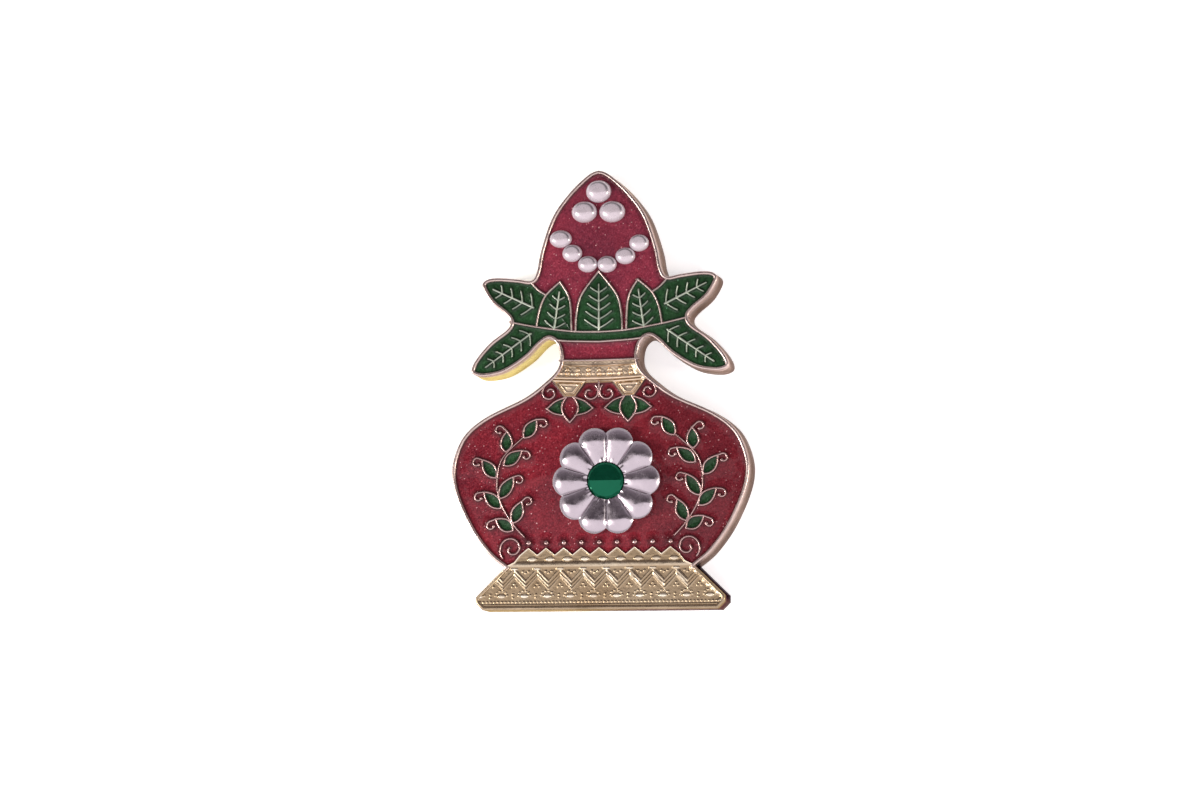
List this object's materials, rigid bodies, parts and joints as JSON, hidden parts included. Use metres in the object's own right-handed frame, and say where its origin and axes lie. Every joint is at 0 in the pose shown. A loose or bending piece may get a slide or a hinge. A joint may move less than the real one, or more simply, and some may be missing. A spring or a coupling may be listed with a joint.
{
  "type": "enamelled kalash plaque",
  "caption": "Flat gold-plated plaque shaped as a kalash with mango leaves and a coconut, with red and green enamel and glued stones.",
  "frame": {"origin": "centre of the back face, in the middle of the plaque's width and height", "axes": "+X to the plaque's right, +Y towards the coconut's tip, +Z out of the decorated front"},
  "size_m": [0.0446, 0.065, 0.0069],
  "materials": {
    "gold_plate": "polished pale gold plating on a cast body",
    "bond_dark": "thin dark adhesive line",
    "enamel_red": "glossy translucent red enamel with fine glitter",
    "enamel_green": "glossy translucent green enamel",
    "crystal_clear": "clear foil-backed stone",
    "crystal_green": "green foil-backed faceted stone"
  },
  "bodies": {
    "root": {"back_plate": "gold_plate", "bond_film": "bond_dark", "front_casting": "gold_plate", "enamel_coconut": "enamel_red", "enamel_neck": "enamel_red", "enamel_belly": "enamel_red", "enamel_leaf_centre": "enamel_green", "enamel_leaf_band": "enamel_green", "enamel_leaf_inner_left": "enamel_green", "enamel_leaf_inner_right": "enamel_green", "enamel_leaf_upper_left": "enamel_green", "enamel_leaf_upper_right": "enamel_green", "enamel_lotus_petal_left": "enamel_red", "enamel_lotus_outer_wing_left": "enamel_green", "enamel_lotus_inner_wing_left": "enamel_green", "enamel_vine_left_1": "enamel_green", "enamel_vine_left_2": "enamel_green", "enamel_vine_left_3": "enamel_green", "enamel_vine_left_4": "enamel_green", "enamel_vine_left_5": "enamel_green", "enamel_vine_left_6": "enamel_green", "enamel_vine_left_7": "enamel_green", "enamel_vine_left_8": "enamel_green", "enamel_lotus_petal_right": "enamel_green", "enamel_lotus_outer_wing_right": "enamel_green", "enamel_lotus_inner_wing_right": "enamel_green", "enamel_vine_right_1": "enamel_green", "enamel_vine_right_2": "enamel_green", "enamel_vine_right_3": "enamel_green", "enamel_vine_right_4": "enamel_green", "enamel_vine_right_5": "enamel_green", "enamel_vine_right_6": "enamel_green", "enamel_vine_right_7": "enamel_green", "enamel_vine_right_8": "enamel_green", "cabochon_forehead": "crystal_clear", "cabochon_cheek_left": "crystal_clear", "cabochon_cheek_right": "crystal_clear", "cabochon_necklace_1": "crystal_clear", "cabochon_necklace_2": "crystal_clear", "cabochon_necklace_3": "crystal_clear", "cabochon_necklace_4": "crystal_clear", "cabochon_necklace_5": "crystal_clear", "cabochon_necklace_6": "crystal_clear", "flower_stone": "crystal_clear", "flower_centre_gem": "crystal_green"}
  },
  "joints": []
}
